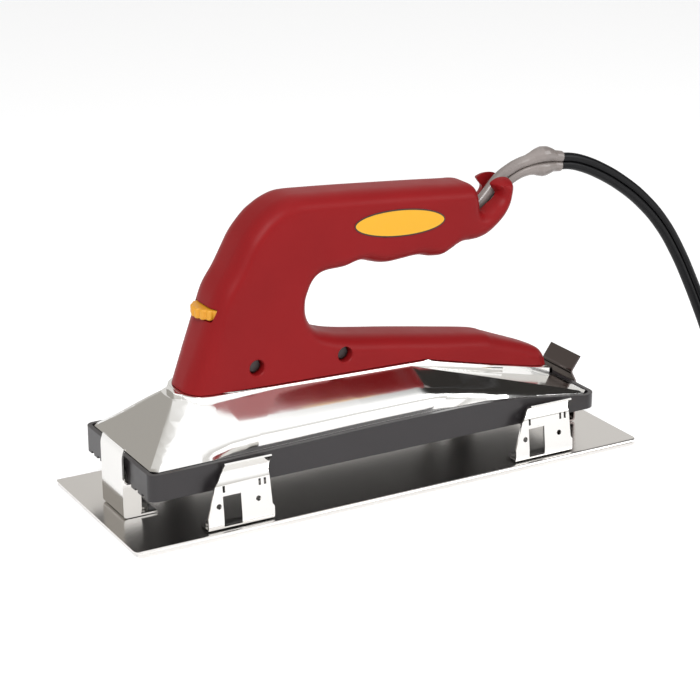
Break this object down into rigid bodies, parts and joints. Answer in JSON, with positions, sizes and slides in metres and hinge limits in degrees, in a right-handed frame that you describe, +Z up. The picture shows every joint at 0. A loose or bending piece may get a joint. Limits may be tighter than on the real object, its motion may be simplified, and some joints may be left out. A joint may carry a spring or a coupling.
{
  "type": "carpet seaming iron",
  "caption": "Carpet seaming iron: moulded clamshell grip with thumbwheel thermostat on a bright hipped hood and dark sole, in a sheet tray with folded spring clips, with a coiled flat cord.",
  "frame": {"origin": "on the floor under the middle of the tray", "axes": "+Z up, +X from the iron's nose to its cord end, -Y towards the side with the handle screws"},
  "size_m": [0.506, 0.1782, 0.1634],
  "materials": {
    "bright_sheet": "polished",
    "bright_hood": "mirror polished",
    "sole": "dark satin coating over cast metal",
    "steel": "plain",
    "brass": "plain",
    "ceramic": "matt moulded",
    "red_plastic": "satin moulded",
    "yellow_plastic": "satin moulded",
    "grey_sleeve": "satin translucent",
    "black_cord": "satin",
    "red_lead": "satin",
    "white_lead": "satin"
  },
  "bodies": {
    "stand": {"front_bracket": "bright_sheet", "rear_latch": "bright_sheet", "rivet_bracket_far": "steel", "rivet_bracket_near": "steel", "rivet_clip_front_far_a": "steel", "rivet_clip_front_far_b": "steel", "rivet_clip_front_near_a": "steel", "rivet_clip_front_near_b": "steel", "rivet_clip_rear_far_a": "steel", "rivet_clip_rear_far_b": "steel", "rivet_clip_rear_near_a": "steel", "rivet_clip_rear_near_b": "steel", "rivet_latch_far": "steel", "rivet_latch_near": "steel", "side_clip_front_far": "bright_sheet", "side_clip_front_near": "bright_sheet", "side_clip_rear_far": "bright_sheet", "side_clip_rear_near": "bright_sheet", "tray_plate": "bright_sheet", "cord_run": "black_cord", "cord_coil": "black_cord", "coil_tie": "black_cord", "plug_body": "black_cord", "plug_blade_near": "brass", "plug_blade_far": "brass"},
    "iron": {"clamp_screw_front": "brass", "clamp_screw_rear": "brass", "cord_clamp_plate": "steel", "cord_clamp_screw_high": "brass", "cord_clamp_screw_low": "brass", "cord_inner": "black_cord", "cord_sleeve": "grey_sleeve", "element_clamp_front": "steel", "element_clamp_rear": "steel", "handle_screw_front": "steel", "handle_screw_middle": "steel", "handle_screw_top": "steel", "handle_shell_far": "red_plastic", "handle_shell_near": "red_plastic", "heating_element": "steel", "hood": "bright_hood", "hood_spacer_front": "steel", "hood_spacer_rear": "steel", "lead_link": "white_lead", "lead_live": "red_lead", "lead_neutral": "black_cord", "mounting_bolt_front": "steel", "mounting_bolt_rear": "steel", "sole_plate": "sole", "thermostat_body": "ceramic", "thermostat_screw_front": "brass", "thermostat_screw_rear": "brass"},
    "dial": {"thermostat_dial": "yellow_plastic", "dial_spindle": "steel"}
  },
  "joints": [
    {"name": "iron_lift", "type": "slide", "parent": "stand", "child": "iron", "axis": [0, 0, 1], "range_m": [0, 0.06]},
    {"name": "thermostat_turn", "type": "hinge", "parent": "iron", "child": "dial", "pos_m": [-0.081, 0, 0.1025], "axis": [0, 0, 1], "range_deg": [0, 300]}
  ]
}
